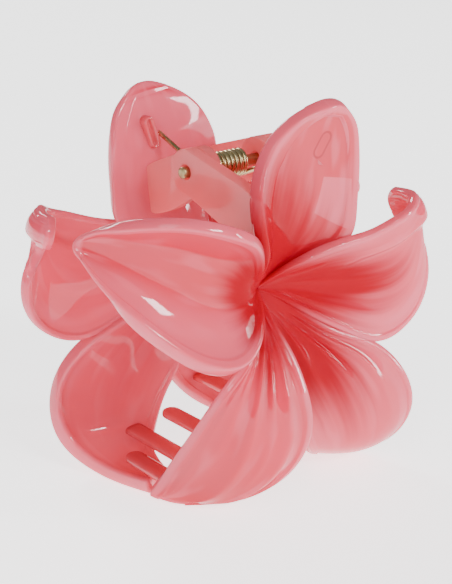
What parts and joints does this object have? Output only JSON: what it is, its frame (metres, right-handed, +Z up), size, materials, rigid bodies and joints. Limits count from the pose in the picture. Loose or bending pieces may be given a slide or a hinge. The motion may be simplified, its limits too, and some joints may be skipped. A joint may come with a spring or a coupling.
{
  "type": "claw hair clip",
  "caption": "Spring-loaded claw hair clip; each moulded half is a five-petal flower, with hinge ears on a pin, a torsion spring and interleaving teeth.",
  "frame": {"origin": "under the middle of the hinge pin, on the plane the clip stands on", "axes": "+Z up through the hinge pin, +X along the hinge pin, -Y out of the front half's flower"},
  "size_m": [0.0744, 0.0576, 0.0845],
  "materials": {
    "petal_plastic": "glossy translucent pink moulded plastic, deepening to red at the flower centre",
    "flower_centre": "glossy translucent deep red",
    "frame_plastic": "glossy translucent pink moulded plastic",
    "spring_wire": "bright drawn wire, brass colour",
    "hinge_pin": "dull cut end, yellowish steel"
  },
  "bodies": {
    "rear_jaw": {"rear_flower_centre": "flower_centre", "rear_top_petal": "petal_plastic", "rear_left_petal": "petal_plastic", "rear_right_petal": "petal_plastic", "rear_lower_right_petal": "petal_plastic", "rear_lower_left_petal": "petal_plastic", "rear_outer_ear": "frame_plastic", "rear_inner_ear": "frame_plastic", "rear_spring_boss": "frame_plastic", "rear_outer_tooth": "frame_plastic", "rear_middle_tooth": "frame_plastic", "rear_far_tooth": "frame_plastic", "hinge_pin": "hinge_pin", "spring_coil": "spring_wire", "spring_rear_leg": "spring_wire"},
    "front_jaw": {"front_flower_centre": "flower_centre", "front_top_petal": "petal_plastic", "front_left_petal": "petal_plastic", "front_right_petal": "petal_plastic", "front_lower_right_petal": "petal_plastic", "front_lower_left_petal": "petal_plastic", "front_outer_ear": "frame_plastic", "front_inner_ear": "frame_plastic", "front_spring_boss": "frame_plastic", "front_outer_tooth": "frame_plastic", "front_middle_tooth": "frame_plastic", "front_far_tooth": "frame_plastic", "spring_front_leg": "spring_wire"}
  },
  "joints": [
    {"name": "jaw_hinge", "type": "hinge", "parent": "rear_jaw", "child": "front_jaw", "pos_m": [0, 0, 0.069], "axis": [-1, 0, 0], "range_deg": [0, 45], "stiffness_Nm_per_rad": 0.25, "springref_deg": -34.38}
  ]
}
